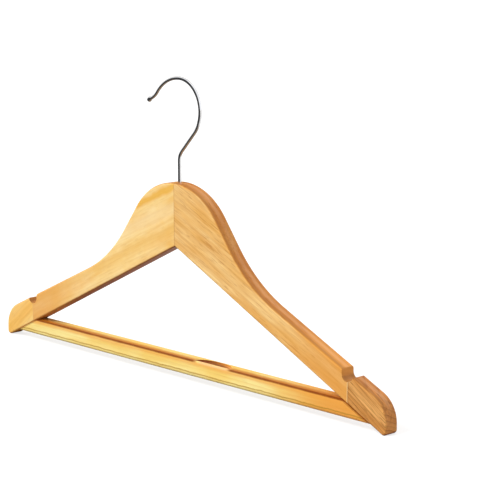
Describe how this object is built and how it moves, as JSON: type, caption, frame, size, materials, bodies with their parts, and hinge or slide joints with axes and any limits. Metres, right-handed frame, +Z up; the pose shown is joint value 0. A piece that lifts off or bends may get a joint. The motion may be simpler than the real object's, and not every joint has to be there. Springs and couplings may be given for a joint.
{
  "type": "suit hanger",
  "caption": "Flat wooden suit hanger: mitred arms with strap notches and rounded tips, a straight trouser bar, and a chrome wire hook with a ball end that swivels in the head.",
  "frame": {"origin": "the point inside the hook's crown that sits on the rail, on the hook's swivel axis", "axes": "+Z up along the swivel axis, +X along the shoulders to the right seen from the front, -Y out of the front face"},
  "size_m": [0.445, 0.0126, 0.2368],
  "materials": {
    "arm_wood": "clear satin lacquer on pale honey wood",
    "tip_wood": "clear satin lacquer on browner wood with slanted grain",
    "bar_wood": "clear satin lacquer on yellow wood",
    "dowel_wood": "bare beech",
    "chrome_wire": "bright chrome plate",
    "zinc_steel": "zinc plate"
  },
  "bodies": {
    "hook_assembly": {"hook_wire": "chrome_wire", "hook_tip_ball": "chrome_wire", "hook_washer": "zinc_steel", "hook_nut": "zinc_steel"},
    "wooden_body": {"left_arm": "arm_wood", "right_arm": "arm_wood", "left_tip": "tip_wood", "right_tip": "tip_wood", "trouser_bar": "bar_wood", "upper_mitre_dowel": "dowel_wood", "lower_mitre_dowel": "dowel_wood", "left_tip_dowel": "dowel_wood", "right_tip_dowel": "dowel_wood", "left_bar_dowel": "dowel_wood", "right_bar_dowel": "dowel_wood"}
  },
  "joints": [
    {"name": "hook_swivel", "type": "hinge", "parent": "hook_assembly", "child": "wooden_body", "pos_m": [0, 0, -0.0789], "axis": [0, 0, 1], "continuous": true}
  ]
}
